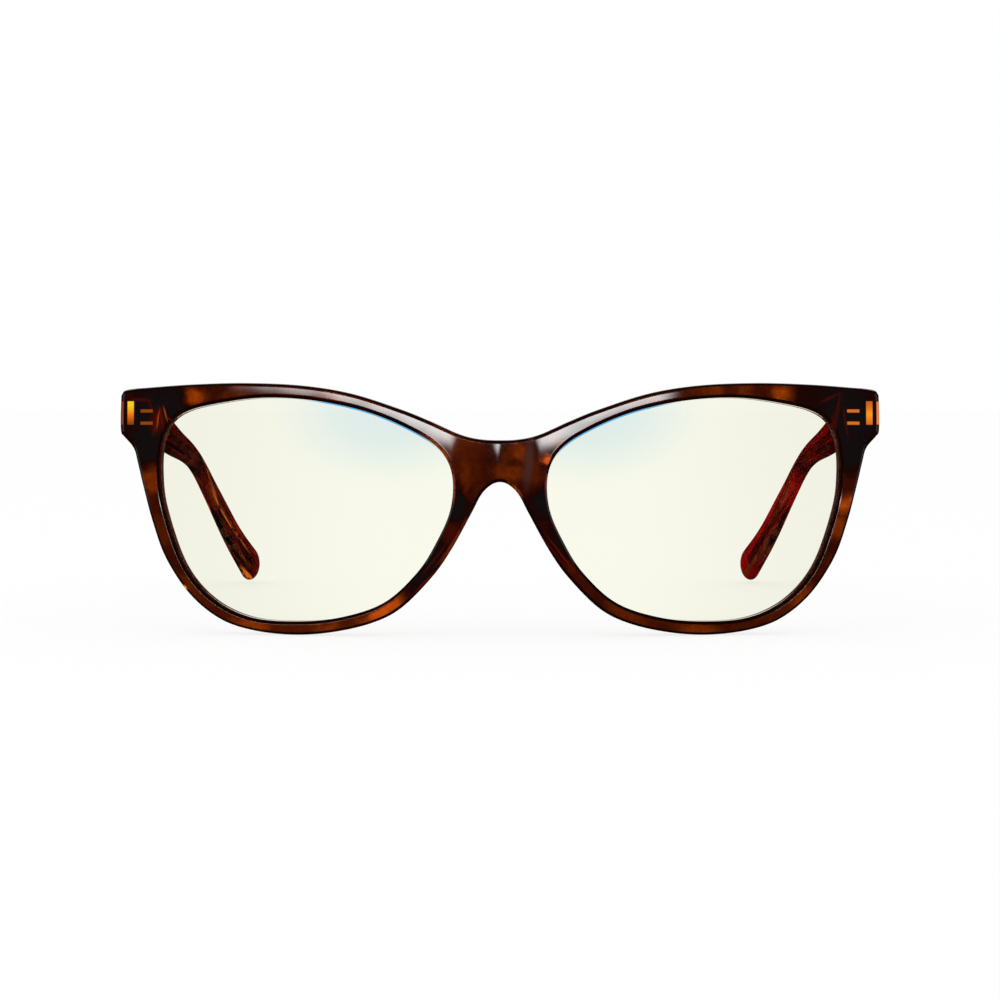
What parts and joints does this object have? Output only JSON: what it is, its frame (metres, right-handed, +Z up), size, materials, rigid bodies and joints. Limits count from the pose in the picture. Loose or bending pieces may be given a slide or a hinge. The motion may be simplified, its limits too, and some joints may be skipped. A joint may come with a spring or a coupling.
{
  "type": "blue light glasses",
  "caption": "Full-rim acetate glasses with clear, faintly cream filter lenses, moulded nose pads and temples that fold on barrel hinges.",
  "frame": {"origin": "centre of the footprint, on the surface that the rims and temple tips stand on", "axes": "+X towards the wearer's left, +Y from the front back along the temples, +Z up"},
  "size_m": [0.1402, 0.1454, 0.046],
  "materials": {
    "tortoise_acetate": "polished dark tortoise acetate, near black with brown and amber patches",
    "temple_acetate": "polished translucent red-brown tortoise acetate",
    "filter_lens": "clear coated plastic, faint cream tint with a blue reflection",
    "hinge_steel": "satin nickel silver",
    "screw_steel": "bright plated steel",
    "core_wire_steel": "drawn wire"
  },
  "bodies": {
    "front": {"front_frame": "tortoise_acetate", "left_lens": "filter_lens", "right_lens": "filter_lens", "left_nose_pad": "tortoise_acetate", "right_nose_pad": "tortoise_acetate", "left_front_hinge": "hinge_steel", "right_front_hinge": "hinge_steel", "left_hinge_screw": "screw_steel", "right_hinge_screw": "screw_steel"},
    "left_arm": {"left_temple": "temple_acetate", "left_temple_hinge": "hinge_steel", "left_core_wire": "core_wire_steel"},
    "right_arm": {"right_temple": "temple_acetate", "right_temple_hinge": "hinge_steel", "right_core_wire": "core_wire_steel"}
  },
  "joints": [
    {"name": "left_temple_fold", "type": "hinge", "parent": "front", "child": "left_arm", "pos_m": [0.06261, -0.05696, 0.03941], "axis": [0, 0.0426, 0.9991], "range_deg": [0, 87]},
    {"name": "right_temple_fold", "type": "hinge", "parent": "front", "child": "right_arm", "pos_m": [-0.06261, -0.05696, 0.03941], "axis": [0, -0.0426, -0.9991], "range_deg": [0, 78]}
  ]
}
